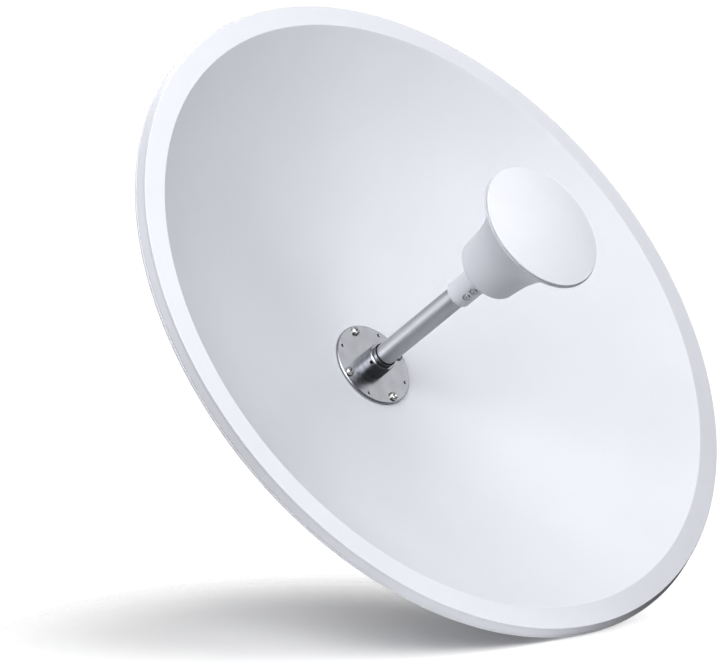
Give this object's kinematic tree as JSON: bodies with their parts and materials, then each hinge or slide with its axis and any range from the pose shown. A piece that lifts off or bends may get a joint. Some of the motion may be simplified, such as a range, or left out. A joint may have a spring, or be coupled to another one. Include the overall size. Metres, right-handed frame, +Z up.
{
  "type": "wireless bridge dish antenna",
  "caption": "Round parabolic dish antenna for a wireless bridge, with a white reflector, a tube-mounted feed head and a tilting steel pole bracket behind it",
  "frame": {"origin": "the middle of the pole bracket's flat rear face, which bears on the pole", "axes": "+Z is up, +Y runs backwards out of the bracket's rear face towards the pole, and +X is to the right for a viewer in front who looks along +Y. The dish looks towards -Y and is raised by 35.1 degrees."},
  "size_m": [0.6548, 0.4675, 0.5383],
  "materials": {
    "powder_coat": "fine matte white powder coat",
    "brushed_metal": "turned and brushed bare metal",
    "bright_steel": "bright plated steel",
    "zinc_steel": "zinc-plated sheet steel",
    "white_plastic": "satin moulded white plastic",
    "rubber": "black sealing ring"
  },
  "bodies": {
    "root": {"reflector_dish": "powder_coat", "feed_flange": "brushed_metal", "flange_screw_1": "bright_steel", "flange_screw_2": "bright_steel", "flange_screw_3": "bright_steel", "flange_screw_4": "bright_steel", "feed_collar": "brushed_metal", "collar_set_screw_1": "bright_steel", "collar_set_screw_2": "bright_steel", "collar_o_ring": "rubber", "feed_tube": "brushed_metal", "feed_neck_sleeve": "white_plastic", "neck_screw_1": "bright_steel", "neck_screw_2": "bright_steel", "neck_screw_3": "bright_steel", "neck_screw_4": "bright_steel", "feed_bell": "white_plastic", "feed_cap": "white_plastic", "rear_hub": "powder_coat", "feed_rear_housing": "brushed_metal", "rf_port_1": "bright_steel", "rf_port_2": "bright_steel", "tilt_bracket": "zinc_steel", "hub_bolt_1": "bright_steel", "hub_bolt_2": "bright_steel", "hub_bolt_3": "bright_steel", "hub_bolt_4": "bright_steel", "pole_bracket": "zinc_steel", "pivot_bolt_left": "bright_steel", "pivot_bolt_right": "bright_steel", "pivot_nut_left": "bright_steel", "pivot_nut_right": "bright_steel", "tilt_lock_bolt_left": "bright_steel", "tilt_lock_bolt_right": "bright_steel", "tilt_lock_nut_left": "bright_steel", "tilt_lock_nut_right": "bright_steel", "u_bolt_lower": "bright_steel", "u_bolt_upper": "bright_steel", "u_bolt_nut_lower_left": "bright_steel", "u_bolt_nut_lower_right": "bright_steel", "u_bolt_nut_upper_left": "bright_steel", "u_bolt_nut_upper_right": "bright_steel"}
  },
  "joints": []
}
